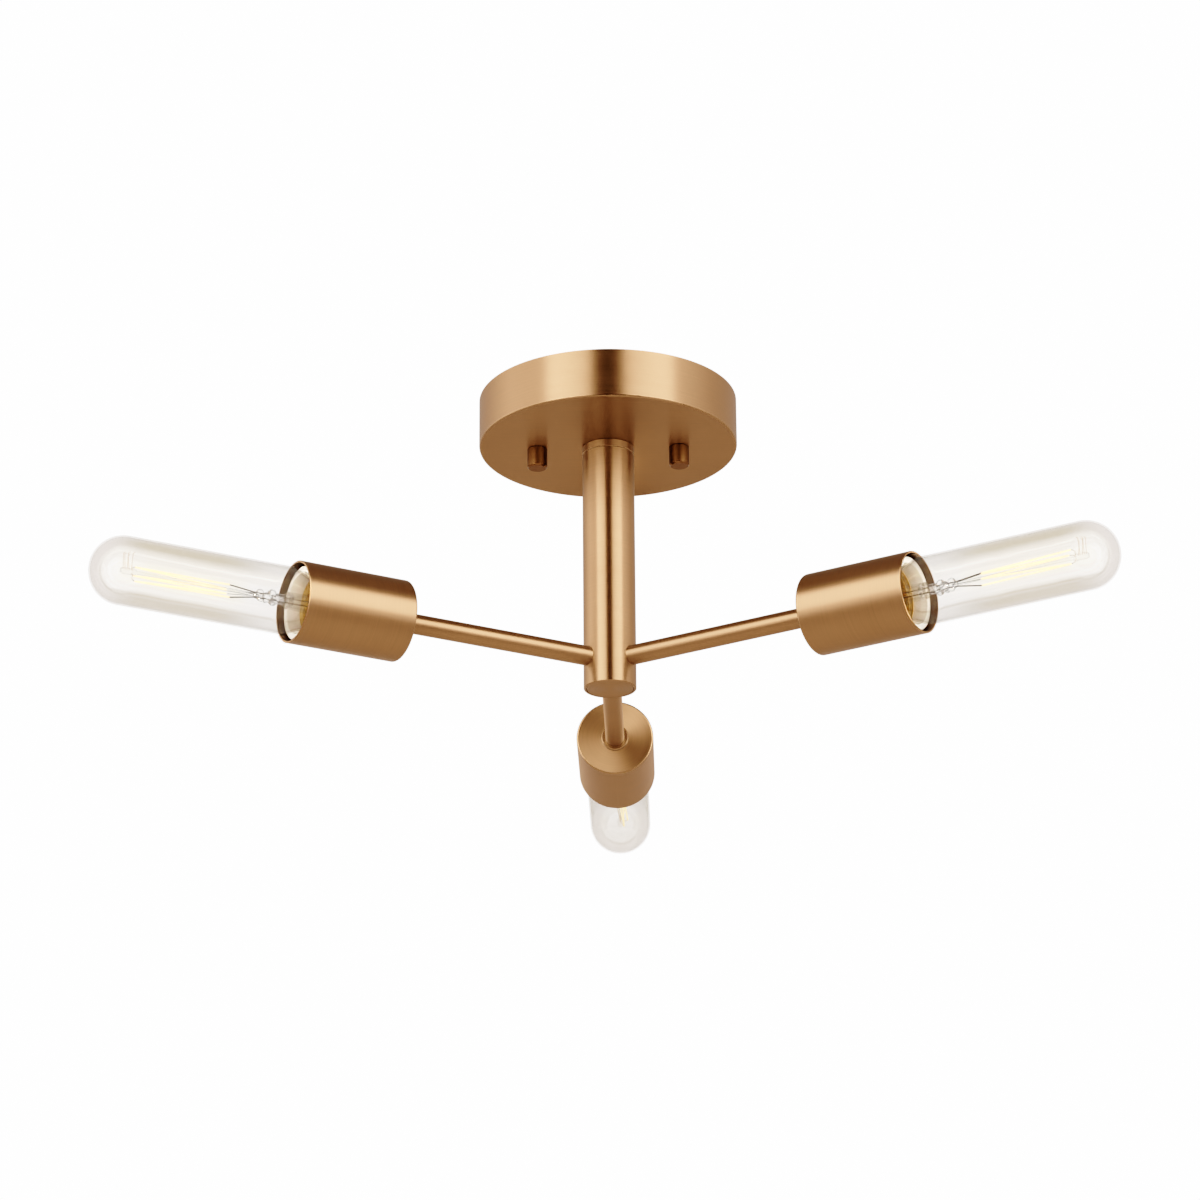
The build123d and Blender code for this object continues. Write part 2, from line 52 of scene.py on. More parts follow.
# ---------------------------------------------------------------- node helpers
class Tree:
    """A small writer for shader node trees: every method returns an output socket."""

    def __init__(self, tree):
        self.t = tree
        self.t.nodes.clear()

    def node(self, kind, **settings):
        n = self.t.nodes.new(kind)
        for k, v in settings.items():
            setattr(n, k, v)
        return n

    def put(self, socket, value):
        if value is None:
            return
        if isinstance(value, bpy.types.NodeSocket):
            self.t.links.new(value, socket)
        elif isinstance(value, (tuple, list)) and len(value) == 3 and socket.type == "RGBA":
            socket.default_value = (*value, 1.0)
        else:
            socket.default_value = value

    def math(self, op, a, b=None, c=None, clamp=False):
        n = self.node("ShaderNodeMath", operation=op, use_clamp=clamp)
        for s, v in zip(n.inputs, (a, b, c)):
            self.put(s, v)
        return n.outputs[0]

    def vec(self, op, a, b=None, scale=None):
        n = self.node("ShaderNodeVectorMath", operation=op)
        self.put(n.inputs[0], a)
        if b is not None:
            self.put(n.inputs[1], b)
        if scale is not None:
            self.put(n.inputs["Scale"], scale)
        return n.outputs["Value"] if op in ("DOT_PRODUCT", "LENGTH", "DISTANCE") else n.outputs["Vector"]

    def ramp(self, value, lo, hi, to_lo=0.0, to_hi=1.0, smooth=False):
        n = self.node("ShaderNodeMapRange", clamp=True, interpolation_type="SMOOTHSTEP" if smooth else "LINEAR")
        for s, v in zip(n.inputs, (value, lo, hi, to_lo, to_hi)):
            self.put(s, v)
        return n.outputs[0]

    def mix(self, fac, a, b):
        n = self.node("ShaderNodeMix", data_type="RGBA")
        self.put(n.inputs[0], fac)
        self.put(n.inputs[6], a)
        self.put(n.inputs[7], b)
        return n.outputs[2]

    def mixf(self, fac, a, b):
        n = self.node("ShaderNodeMix", data_type="FLOAT")
        self.put(n.inputs[0], fac)
        self.put(n.inputs[2], a)
        self.put(n.inputs[3], b)
        return n.outputs[0]

    def mixv(self, fac, a, b):
        n = self.node("ShaderNodeMix", data_type="VECTOR")
        self.put(n.inputs[0], fac)
        self.put(n.inputs[4], a)
        self.put(n.inputs[5], b)
        return n.outputs[1]

    def noise(self, vector, scale, detail=2.0, rough=0.5, w=None):
        n = self.node("ShaderNodeTexNoise", noise_dimensions="3D" if w is None else "4D")
        self.put(n.inputs["Vector"], vector)
        n.inputs["Scale"].default_value = scale
        n.inputs["Detail"].default_value = detail
        n.inputs["Roughness"].default_value = rough
        if w is not None:
            self.put(n.inputs["W"], w)
        return n.outputs["Fac"]

    def xyz(self, v):
        n = self.node("ShaderNodeSeparateXYZ")
        self.put(n.inputs[0], v)
        return n.outputs[0], n.outputs[1], n.outputs[2]

    def join(self, x, y, z):
        n = self.node("ShaderNodeCombineXYZ")
        for s, v in zip(n.inputs, (x, y, z)):
            self.put(s, v)
        return n.outputs[0]

    def bump(self, height, distance, strength=1.0):
        n = self.node("ShaderNodeBump")
        n.inputs["Strength"].default_value = strength
        n.inputs["Distance"].default_value = distance
        self.put(n.inputs["Height"], height)
        return n.outputs[0]


def material(name, colour):
    m = bpy.data.materials.new(name)
    m.use_nodes = True
    m.diffuse_color = (*colour, 1.0)
    t = Tree(m.node_tree)
    out = t.node("ShaderNodeOutputMaterial")
    b = t.node("ShaderNodeBsdfPrincipled")
    t.t.links.new(b.outputs[0], out.inputs["Surface"])
    co = t.node("ShaderNodeTexCoord").outputs["Object"]
    return m, t, b, co


def tone(t, base, fac, lo, hi):
    """Base colour scaled from lo to hi by fac."""
    return t.mix(fac, tuple(c * lo for c in base), tuple(c * hi for c in base))


# ---------------------------------------------------------------- satin brass, brushed round its own axis
def second_hand(t, colour, pale=SECOND):
    """Metal seen in other metal: paler, so that brass mirrored in brass keeps the hue of brass."""
    return t.mix(t.node("ShaderNodeLightPath").outputs["Is Glossy Ray"], colour, pale)


def brushed_brass(name, axis, origin, flat=None, twist=0.0, rough=0.38, aniso=0.85, base=BRASS, line=1500.0, length=38.0,
                  painted_shade_inside=False, pale=SECOND, edge_rough=0.20):
    """Brushed brass. The lines run round `axis` through `origin`; on faces square to the axis they run round it too,
    or, where `flat` is given, straight along that direction. axis None takes each point's own arm axis."""
    m, t, b, co = material(name, base)
    rel = t.vec("SUBTRACT", co, tuple(origin))
    if axis is None:
        x, y, _ = t.xyz(rel)
        a = t.vec("NORMALIZE", t.join(x, y, 0.0))
    else:
        a = tuple(axis)
    normal = t.node("ShaderNodeNewGeometry").outputs["Normal"]
    h = t.vec("DOT_PRODUCT", rel, a)
    along = t.vec("SCALE", a, scale=h)
    across = t.vec("SUBTRACT", rel, along)
    rho = t.vec("LENGTH", across)
    round_ = t.vec("CROSS_PRODUCT", a, across)
    tangent = t.vec("NORMALIZE", t.vec("CROSS_PRODUCT", normal, round_))
    face = t.ramp(t.math("ABSOLUTE", t.vec("DOT_PRODUCT", normal, a)), 0.75, 0.8)
    if twist:
        side = t.vec("CROSS_PRODUCT", normal, tangent)
        turned = t.vec("ADD", t.vec("SCALE", tangent, scale=math.cos(twist)), t.vec("SCALE", side, scale=math.sin(twist)))
        tangent = t.mixv(face, tangent, turned)
    if flat is not None:
        cross = Vector(flat).cross(Vector(axis))
        tangent = t.mixv(face, tangent, tuple(cross))
    # brush lines: short features across the lines, long ones along them
    px, py, pz = t.xyz(across)
    coarse = t.vec("SCALE", across, scale=length)
    lines_v = t.vec("ADD", coarse, t.vec("SCALE", a, scale=t.math("MULTIPLY", h, line)))
    lines = t.noise(lines_v, 1.0, 3.0, 0.65, w=t.math("MULTIPLY", rho, line))
    if flat is not None:
        cross = Vector(flat).cross(Vector(axis))
        k = t.vec("DOT_PRODUCT", co, tuple(flat))
        q = t.vec("DOT_PRODUCT", co, tuple(cross))
        straight = t.noise(t.join(t.math("MULTIPLY", k, length), t.math("MULTIPLY", q, line), 0.0), 1.0, 3.0, 0.65)
        lines = t.mixf(face, lines, straight)
    cloud = t.noise(co, 26.0, 3.0, 0.55)
    both = t.math("ADD", t.math("MULTIPLY", lines, 0.62), t.math("MULTIPLY", cloud, 0.38))
    colour = second_hand(t, tone(t, base, t.ramp(both, 0.34, 0.66), 0.95, 1.04), pale)
    if painted_shade_inside:
        # painted shade: the cup's inner wall behind the mouth is coloured dark brown, standing in for the shade inside
        # the recess
        inside = t.math("MULTIPLY", t.math("LESS_THAN", rho, 0.01862), t.math("GREATER_THAN", h, 0.1141))
        colour = t.mix(inside, colour, (0.28, 0.215, 0.175))
    t.put(b.inputs["Base Color"], colour)
    # rounded edges are burnished smoother than the brushed faces
    tilt = t.math("ABSOLUTE", t.vec("DOT_PRODUCT", normal, a))
    edge = t.math("MULTIPLY", t.ramp(tilt, 0.06, 0.16), t.ramp(tilt, 0.985, 0.94))
    t.put(b.inputs["Roughness"], t.mixf(edge, t.ramp(lines, 0.3, 0.7, rough - 0.035, rough + 0.035), edge_rough))
    b.inputs["Metallic"].default_value = 1.0
    b.inputs["Anisotropic"].default_value = aniso
    t.put(b.inputs["Tangent"], tangent)
    t.put(b.inputs["Normal"], t.bump(lines, 0.000012, 0.5))
    return m


def plain_metal(name, base, rough, bump=0.00001, scale=900.0, lo=0.85, hi=1.08, spread=0.06, pale=None):
    m, t, b, co = material(name, base)
    grain = t.noise(co, scale, 4.0, 0.6)
    cloud = t.noise(co, 70.0, 3.0, 0.5)
    both = t.math("ADD", t.math("MULTIPLY", grain, 0.5), t.math("MULTIPLY", cloud, 0.5))
    colour = tone(t, base, t.ramp(both, 0.32, 0.68), lo, hi)
    if pale is not None:
        colour = second_hand(t, colour, pale)
    t.put(b.inputs["Base Color"], colour)
    t.put(b.inputs["Roughness"], t.ramp(cloud, 0.3, 0.7, rough - spread, rough + spread))
    b.inputs["Metallic"].default_value = 1.0
    t.put(b.inputs["Normal"], t.bump(grain, bump, 0.4))
    return m


def coated(name, base, rough, coat=0.0, bump=0.00001, scale=700.0, lo=0.93, hi=1.04, ior=1.5):
    """Glaze, plastic, paint and wire insulation."""
    m, t, b, co = material(name, base)
    grain = t.noise(co, scale, 4.0, 0.55)
    cloud = t.noise(co, 90.0, 2.0, 0.5)
    t.put(b.inputs["Base Color"], tone(t, base, t.ramp(cloud, 0.3, 0.7), lo, hi))
    t.put(b.inputs["Roughness"], t.ramp(grain, 0.3, 0.7, rough - 0.03, rough + 0.03))
    b.inputs["IOR"].default_value = ior
    b.inputs["Coat Weight"].default_value = coat
    b.inputs["Coat Roughness"].default_value = 0.06
    t.put(b.inputs["Normal"], t.bump(grain, bump, 0.3))
    return m


def glowing(name, base, light, strength):
    m, t, b, co = material(name, base)
    heat = t.noise(co, 240.0, 2.0, 0.5)
    t.put(b.inputs["Base Color"], tone(t, base, heat, 0.8, 1.0))
    b.inputs["Roughness"].default_value = 0.5
    t.put(b.inputs["Emission Color"], tone(t, light, t.ramp(heat, 0.3, 0.7), 0.92, 1.0))
    b.inputs["Emission Strength"].default_value = strength
    return m


# ---------------------------------------------------------------- finishes of the CAD nodes
def wear(node, mat):
    o = nodes[node]
    o.data.materials.clear()
    o.data.materials.append(mat)


DEEP = (0.47, 0.445, 0.405)
wear("canopy", brushed_brass("brass_canopy", UP, (0, 0, 0), flat=(1, 0, 0), edge_rough=0.27))
stem = brushed_brass("brass_stem", UP, (0, 0, 0), pale=DEEP)
for n in ("stem_tube", "stem_collar", "stem_end_plug"):
    wear(n, stem)
for side, x in (("left", -0.034925), ("right", 0.034925)):
    wear(f"finial_nut_{side}", brushed_brass(f"brass_nut_{side}", UP, (x, 0, 0), rough=0.38, aniso=0.30, base=NUT_BRASS, length=120.0, pale=DEEP))
for arm, axis in AXIS.items():
    wear(f"arm_tube_{arm}", brushed_brass(f"brass_arm_{arm}", axis, ARM_O, length=90.0))
    wear(f"socket_cup_{arm}", brushed_brass(f"brass_cup_{arm}", axis, ARM_O, twist=math.radians(-50), painted_shade_inside=True,
                                             aniso=0.62 if arm == "rear" else 0.85))
wear("arm_rings", brushed_brass("brass_rings", None, ARM_O, rough=0.24, aniso=0.3, length=120.0))

zinc = plain_metal("zinc_plated_steel", (0.62, 0.60, 0.55), 0.34, scale=600.0)
for n in ("mounting_strap", "mounting_studs", "stud_lock_nuts", "threaded_nipple", "nipple_lock_washer", "nipple_nut",
          "arm_lock_nuts", "socket_straps", "strap_screws"):
    wear(n, zinc)
wear("ground_screw", plain_metal("green_dyed_screw", (0.05, 0.30, 0.12), 0.3))
wear("ground_wire", plain_metal("bare_copper", (0.78, 0.40, 0.26), 0.28, lo=0.75))
porcelain = coated("white_porcelain", (0.975, 0.965, 0.945), 0.12, coat=0.3, scale=300.0, lo=0.98, hi=1.0)
shell = plain_metal("socket_brass", (0.95, 0.70, 0.38), 0.32, lo=0.9, pale=(0.9, 0.84, 0.72))
for arm in ARMS:
    wear(f"socket_body_{arm}", porcelain)
    wear(f"screw_shell_{arm}", shell)
    wear(f"centre_contact_{arm}", shell)
wear("wires_black", coated("black_insulation", (0.025, 0.025, 0.027), 0.35, scale=900.0))
wear("wires_white", coated("white_insulation", (0.78, 0.77, 0.73), 0.38, scale=900.0))
wear("wire_connectors", coated("orange_connector", (0.80, 0.28, 0.05), 0.42, scale=1200.0))

def mount_glass(name, base, ripple, solid):
    """Fire-polished clear glass. Part of the light goes straight through, so that its edges stay soft and pale."""
    m, t, b, co = material(name, base)
    out = next(n for n in t.t.nodes if n.bl_idname == "ShaderNodeOutputMaterial")
    wave = t.noise(co, 55.0, 2.0, 0.4)
    t.put(b.inputs["Base Color"], tone(t, base, t.ramp(wave, 0.3, 0.7), 0.985, 1.0))
    b.inputs["Roughness"].default_value = 0.03
    b.inputs["Transmission Weight"].default_value = 1.0
    b.inputs["IOR"].default_value = 1.45
    t.put(b.inputs["Normal"], t.bump(wave, ripple, 1.0))
    clear = t.node("ShaderNodeBsdfTransparent")
    t.put(clear.inputs["Color"], tone(t, (0.99, 0.985, 0.975), t.ramp(wave, 0.3, 0.7), 0.985, 1.0))
    both = t.node("ShaderNodeMixShader")
    x, y, _ = t.xyz(co)
    reach = t.vec("LENGTH", t.join(x, y, 0.0))
    share = t.math("MULTIPLY", t.ramp(reach, 0.167, 0.175, 0.22, 1.0), t.ramp(reach, 0.196, 0.235, solid, 0.14))
    t.put(both.inputs[0], share)
    t.t.links.new(clear.outputs[0], both.inputs[1])
    t.t.links.new(b.outputs[0], both.inputs[2])
    t.t.links.new(both.outputs[0], out.inputs["Surface"])
    return m


mount = mount_glass("mount_glass", (0.985, 0.985, 0.98), 0.00006, 0.55)
base_metal = plain_metal("lamp_base_brass", (0.90, 0.64, 0.30), 0.34, lo=0.9, pale=(0.9, 0.84, 0.72))


def insulator():
    """Black glass at the foot of the lamp, with a bed of tan basing cement inside the base."""
    m, t, b, co = material("black_insulator", (0.02, 0.02, 0.022))
    x, y, z = t.xyz(co)
    reach = t.vec("LENGTH", t.join(x, y, 0.0))
    cement = t.math("GREATER_THAN", reach, 0.13645)
    grit = t.noise(co, 900.0, 4.0, 0.6)
    t.put(b.inputs["Base Color"], t.mix(cement, tone(t, (0.02, 0.02, 0.022), grit, 0.7, 1.0), tone(t, (0.72, 0.52, 0.27), t.ramp(grit, 0.3, 0.7), 0.7, 1.05)))
    t.put(b.inputs["Roughness"], t.mixf(cement, 0.15, 0.85))
    t.put(b.inputs["Normal"], t.bump(grit, 0.00004, 0.5))
    return m


black_glass = insulator()
solder = plain_metal("contact_solder", (0.60, 0.60, 0.58), 0.38, bump=0.00006, scale=400.0)


def support_wire():
    """Oxidised nickel wire; the springs beyond the filament get a pale peach colour and a painted glow, standing in
    for the filament's light on them.
    """
    m, t, b, co = material("support_wire", (0.30, 0.27, 0.24))
    x, y, z = t.xyz(co)
    far = t.math("GREATER_THAN", t.vec("LENGTH", t.join(x, y, 0.0)), 0.2475)
    grain = t.noise(co, 2000.0, 4.0, 0.6)
    t.put(b.inputs["Base Color"], t.mix(far, tone(t, (0.34, 0.31, 0.28), grain, 0.7, 1.05), tone(t, (0.98, 0.80, 0.64), grain, 0.9, 1.0)))
    t.put(b.inputs["Roughness"], t.mixf(far, t.ramp(grain, 0.3, 0.7, 0.30, 0.42), 0.5))
    t.put(b.inputs["Metallic"], t.math("SUBTRACT", 1.0, far))
    # painted glow: emission on the springs beyond the filament, for the filament's light on them
    t.put(b.inputs["Emission Color"], t.mix(far, (0.0, 0.0, 0.0), (1.0, 0.78, 0.58)))
    b.inputs["Emission Strength"].default_value = 0.35
    t.put(b.inputs["Normal"], t.bump(grain, 0.00001, 0.4))
    return m


wire = support_wire()
for arm in ARMS:
    wear(f"bulb_{arm}_glass_mount", mount)
    wear(f"bulb_{arm}_screw_base", base_metal)
    wear(f"bulb_{arm}_insulator", black_glass)
    wear(f"bulb_{arm}_contact_tip", solder)
    wear(f"bulb_{arm}_support_wires", wire)


# ---------------------------------------------------------------- lamp envelopes: thin blown glass
def thin_glass(name):
    """A thin clear wall: seen through it straight, it dims a little where the wall is seen at a slant; the tints
    there, a shade different on the upper and lower half, are painted reflections of the surroundings.
    """
    m = bpy.data.materials.new(name)
    m.use_nodes = True
    m.diffuse_color = (0.95, 0.95, 0.95, 0.2)
    t = Tree(m.node_tree)
    out = t.node("ShaderNodeOutputMaterial")
    b = t.node("ShaderNodeBsdfPrincipled")
    clear = t.node("ShaderNodeBsdfTransparent")
    both = t.node("ShaderNodeMixShader")
    co = t.node("ShaderNodeTexCoord").outputs["Object"]
    facing = t.node("ShaderNodeLayerWeight")
    facing.inputs["Blend"].default_value = 0.5
    f = facing.outputs["Facing"]
    wave = t.noise(co, 45.0, 2.0, 0.4)
    f2 = t.math("ADD", f, t.ramp(wave, 0.3, 0.7, -0.02, 0.02))
    x, y, z = t.xyz(co)
    reach = t.vec("LENGTH", t.join(x, y, 0.0))
    tube = t.ramp(reach, 0.176, 0.205, smooth=True)
    up = t.ramp(z, ARM_Z - 0.005, ARM_Z + 0.005, smooth=True)

    def line(at, half):
        return t.ramp(t.math("ABSOLUTE", t.math("SUBTRACT", f2, at)), half, half * 0.35, smooth=True)

    # painted reflection: beige tints where the wall is seen at a slant, a shade different on the upper and lower half
    # of the tube
    rise = t.mixf(up, t.ramp(f2, 0.10, 0.39, smooth=True), t.ramp(f2, 0.20, 0.42, smooth=True))
    edge = t.ramp(f2, 0.48, 0.74, smooth=True)
    band = t.mix(up, (0.870, 0.850, 0.826), (0.856, 0.834, 0.802))
    band = t.mix(tube, (0.915, 0.902, 0.890), band)
    rim = t.mix(up, (0.890, 0.873, 0.858), (0.885, 0.868, 0.850))
    dome = t.ramp(reach, 0.247, 0.262, smooth=True)
    tint = t.mix(dome, t.mix(edge, band, rim), (0.922, 0.902, 0.888))
    # the wall in front of the lit filament picks up a little of its warm light
    warm = t.math("MULTIPLY", t.ramp(reach, 0.194, 0.206, smooth=True), t.ramp(reach, 0.254, 0.246, smooth=True))
    near_neck = t.ramp(reach, 0.206, 0.186, smooth=True)
    middle = t.mix(near_neck, (0.994, 0.990, 0.983), (0.958, 0.949, 0.942))
    # painted reflection: a faint beige tint on the upper half, where the wall is seen nearly straight
    upper = t.math("MULTIPLY", up, t.ramp(f2, 0.07, 0.13, smooth=True))
    middle = t.mix(t.math("MULTIPLY", upper, 0.8), middle, (0.955, 0.940, 0.918))
    middle = t.mix(t.math("MULTIPLY", warm, t.ramp(f2, 0.15, 0.07, smooth=True)), middle, (0.990, 0.980, 0.945))
    seen = t.mix(rise, middle, tint)
    # fine lines along the wall, painted reflections: a pale highlight line above, a darker line below
    seen = t.mix(t.math("MULTIPLY", t.math("MULTIPLY", up, line(0.20, 0.022)), 0.9), seen, (0.995, 0.988, 0.972))
    low = t.math("MULTIPLY", t.math("SUBTRACT", 1.0, up), line(0.27, 0.03))
    seen = t.mix(t.math("MULTIPLY", low, 0.55), seen, (0.845, 0.815, 0.780))
    # the neck and shoulder end in a thin painted dark outline, standing in for the glass edge's reflection
    neck = t.ramp(reach, 0.178, 0.170, smooth=True)
    seen = t.mix(t.math("MULTIPLY", neck, t.ramp(f2, 0.74, 0.90, smooth=True)), seen, (0.72, 0.69, 0.65))
    seen = t.vec("MULTIPLY", seen, t.mix(warm, (1.0, 1.0, 1.0), (1.0, 0.9955, 0.988)))
    # faint lines along the wall, set by the slant at which it is seen: painted reflection streaks
    painted_streaks = t.noise(t.join(t.math("MULTIPLY", f2, 26.0), t.math("MULTIPLY", reach, 9.0), t.math("MULTIPLY", up, 7.0)), 1.0, 3.0, 0.6)
    seen = t.vec("MULTIPLY", seen, t.mix(t.math("MULTIPLY", tube, t.ramp(painted_streaks, 0.36, 0.62)), (1.0, 1.0, 1.0), (0.974, 0.970, 0.963)))
    t.put(clear.inputs["Color"], seen)
    t.put(b.inputs["Base Color"], tone(t, (0.94, 0.94, 0.95), wave, 0.96, 1.0))
    b.inputs["Roughness"].default_value = 0.04
    b.inputs["IOR"].default_value = 1.5
    t.put(b.inputs["Normal"], t.bump(wave, 0.00002, 1.0))
    steep = t.math("POWER", f, 4.0)
    # the drawn-in neck is a little milky, so that the socket shows paler through it
    milk = t.ramp(reach, 0.180, 0.172, 0.012, 0.030, smooth=True)
    t.put(both.inputs[0], t.mixf(tube, t.math("ADD", milk, t.math("MULTIPLY", steep, 0.148)), t.ramp(steep, 0.0, 1.0, 0.008, 0.12)))
    t.t.links.new(clear.outputs[0], both.inputs[1])
    t.t.links.new(b.outputs[0], both.inputs[2])
    t.t.links.new(both.outputs[0], out.inputs["Surface"])
    return m


def arm_matrix(arm):
    """From (x, y, z = distance from the stem) to the frame: x points down, z out along the arm."""
    a = Vector(AXIS[arm])
    down = Vector((0, 0, -1))
    side = a.cross(down)
    m = Matrix((down, side, a)).transposed().to_4x4()
    m.translation = Vector(ARM_O)
    return m


def add_mesh(name, verts, faces, matrix, mat, body, slot, *hidden):
    me = bpy.data.meshes.new(name)
    me.from_pydata([matrix @ Vector(v) for v in verts], [], faces)
    me.materials.append(mat)
    for p in me.polygons:
        p.use_smooth = True
    me.update()
    o = bpy.data.objects.new(name, me)
    bpy.context.scene.collection.objects.link(o)
    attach(o, body)
    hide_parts(*hidden)
    return o


def shoulder(t):
    """Radius and distance of the neck's curve, from the neck to the tube, for a wall surface t inside the outside."""
    keys = [(11.6 - t, 156.0), (12.1 - t, 160.8), (13.9 - t, 165.9), (15.75 - t, 170.2), (16.0 - t, 174.0)]
    tang = [(0.0, 5.2)]
    for k in range(1, 4):
        tang.append(((keys[k + 1][0] - keys[k - 1][0]) / 2, (keys[k + 1][1] - keys[k - 1][1]) / 2))
    tang.append((0.0, 4.4))
    pts = []
    for k in range(4):
        (r0, z0), (r1, z1), (a0, b0), (a1, b1) = keys[k], keys[k + 1], tang[k], tang[k + 1]
        for i in range(10):
            u = i / 10
            h0, h1 = 2 * u**3 - 3 * u**2 + 1, u**3 - 2 * u**2 + u
            h2, h3 = -2 * u**3 + 3 * u**2, u**3 - u**2
            pts.append((h0 * r0 + h1 * a0 + h2 * r1 + h3 * a1, h0 * z0 + h1 * b0 + h2 * z1 + h3 * b1))
    return pts + [(16.0 - t, 174.0)]


def envelope(arm, mat, wall=0.7, sides=256):
    """The lamp's glass, turned about its axis: the outside from the open end to the tip, then back down the inside."""
    def surface(t):
        pts = [(11.6 - t, 149.5), (11.6 - t, 151.5), (11.6 - t, 153.7)] + shoulder(t)
        pts += [(16.0 - t, 174.0 + (253.0 - 174.0) * k / 24) for k in range(1, 24)]
        pts += [((16.0 - t) * math.cos(math.pi / 2 * k / 36), 253.0 + (16.0 - t) * math.sin(math.pi / 2 * k / 36)) for k in range(0, 36)]
        return pts
    outer, inner = surface(0.0), surface(wall)[::-1]
    verts, faces, rows = [], [], []

    def ring(r, z):
        rows.append(len(verts))
        for k in range(sides):
            a = 2 * math.pi * k / sides
            verts.append((r * math.cos(a) / 1000, r * math.sin(a) / 1000, z / 1000))

    def strip(p, q):
        for k in range(sides):
            n = (k + 1) % sides
            faces.append((p + k, p + n, q + n, q + k))

    for r, z in outer:
        ring(r, z)
    for p, q in zip(rows, rows[1:]):
        strip(p, q)
    tip_out = len(verts)
    verts.append((0, 0, 0.269))
    last = rows[-1]
    for k in range(sides):
        faces.append((last + k, last + (k + 1) % sides, tip_out))
    tip_in = len(verts)
    verts.append((0, 0, (269.0 - wall) / 1000))
    first = len(rows)
    for r, z in inner:
        ring(r, z)
    p = rows[first]
    for k in range(sides):
        faces.append((tip_in, p + (k + 1) % sides, p + k))
    for p, q in zip(rows[first:], rows[first + 1:]):
        strip(p, q)
    strip(rows[-1], rows[0])
    add_mesh(f"lamp_glass_{arm}", verts, faces, arm_matrix(arm), mat, f"bulb_{arm}", "bulb_glass", f"bulb_{arm}_glass")


def rounded(points, radius=0.5, steps=5):
    """A polyline with its corners rounded."""
    out = [Vector(points[0])]
    for a, b, c in zip(points, points[1:], points[2:]):
        a, b, c = Vector(a), Vector(b), Vector(c)
        p, q = b + (a - b).normalized() * radius, b + (c - b).normalized() * radius
        for i in range(steps + 1):
            u = i / steps
            out.append(p * (1 - u) ** 2 + b * 2 * u * (1 - u) + q * u**2)
    out.append(Vector(points[-1]))
    return out


def coil(arm, mat, radius=0.40, turn=0.55, sides=8):
    """The lit filament: a tightly wound wire, strung up and down inside the lamp."""
    pts = [(-2.6, 0.0, 200.42)]
    for k, ang in enumerate((210, 240, 270, 300, 330)):
        r, z = (4.0, 246.8) if k % 2 == 0 else (2.4, 200.9)
        pts.append((r * math.cos(math.radians(ang)), r * math.sin(math.radians(ang)), z))
    pts.append((3.6, 0.0, 200.42))
    path = rounded(pts)
    fine, length = [path[0]], 0.0
    for a, b in zip(path, path[1:]):
        n = max(1, int((b - a).length / 0.13))
        for i in range(1, n + 1):
            fine.append(a.lerp(b, i / n))
    verts, faces = [], []
    frame_x = Vector((0, 1, 0))
    for i, p in enumerate(fine):
        d = (fine[min(i + 1, len(fine) - 1)] - fine[max(i - 1, 0)]).normalized()
        frame_x = (frame_x - d * frame_x.dot(d)).normalized()
        frame_y = d.cross(frame_x)
        if i:
            length += (p - fine[i - 1]).length
        r = radius + 0.04 * math.sin(2 * math.pi * length / turn)
        for k in range(sides):
            a = 2 * math.pi * k / sides
            v = p + frame_x * (r * math.cos(a)) + frame_y * (r * math.sin(a))
            verts.append((v.x / 1000, v.y / 1000, v.z / 1000))
    for i in range(len(fine) - 1):
        for k in range(sides):
            n = (k + 1) % sides
            faces.append((i * sides + k, i * sides + n, (i + 1) * sides + n, (i + 1) * sides + k))
    faces.append(tuple(reversed(range(sides))))
    faces.append(tuple(range(len(verts) - sides, len(verts))))
    add_mesh(f"filament_coil_{arm}", verts, faces, arm_matrix(arm), mat, f"bulb_{arm}", "filament", f"bulb_{arm}_filament")


envelope_glass = thin_glass("bulb_glass")
filament = glowing("lit_filament", (0.4, 0.3, 0.18), (1.0, 0.85, 0.50), 1.55)
for arm in ARMS:
    envelope(arm, envelope_glass)
    coil(arm, filament)


# ---------------------------------------------------------------- floor
def floor():
    """A pale round studio floor, far enough below for the camera to stay above it in every view."""
    bm = bmesh.new()
    rings, sides, radius = 24, 96, 9.0
    rows = []
    for i in range(1, rings + 1):
        r = radius * (i / rings)
        rows.append([bm.verts.new((r * math.cos(2 * math.pi * k / sides), r * math.sin(2 * math.pi * k / sides), 0.0)) for k in range(sides)])
    centre = bm.verts.new((0, 0, 0))
    for k in range(sides):
        bm.faces.new((centre, rows[0][k], rows[0][(k + 1) % sides]))
    for a, c in zip(rows, rows[1:]):
        for k in range(sides):
            bm.faces.new((a[k], c[k], c[(k + 1) % sides], a[(k + 1) % sides]))
    me = bpy.data.meshes.new("studio_floor")
    bm.to_mesh(me)
    bm.free()
    o = bpy.data.objects.new("studio_floor", me)
    bpy.context.scene.collection.objects.link(o)
    o.location = (0, 0, -2.6)
    m, t, b, co = material("pale_floor", (0.945, 0.918, 0.905))
    speck = t.noise(co, 4.0, 3.0, 0.5)
    t.put(b.inputs["Base Color"], tone(t, (0.945, 0.918, 0.905), speck, 0.98, 1.0))
    b.inputs["Roughness"].default_value = 0.8
    # the floor shows as pale as the walls, without lighting the object more
    way = t.node("ShaderNodeLightPath")
    t.put(b.inputs["Emission Color"], (1.0, 0.995, 0.985))
    t.put(b.inputs["Emission Strength"], t.math("MULTIPLY", t.math("MAXIMUM", way.outputs["Is Camera Ray"], way.outputs["Is Transmission Ray"]), 0.62))
    me.materials.append(m)


floor()


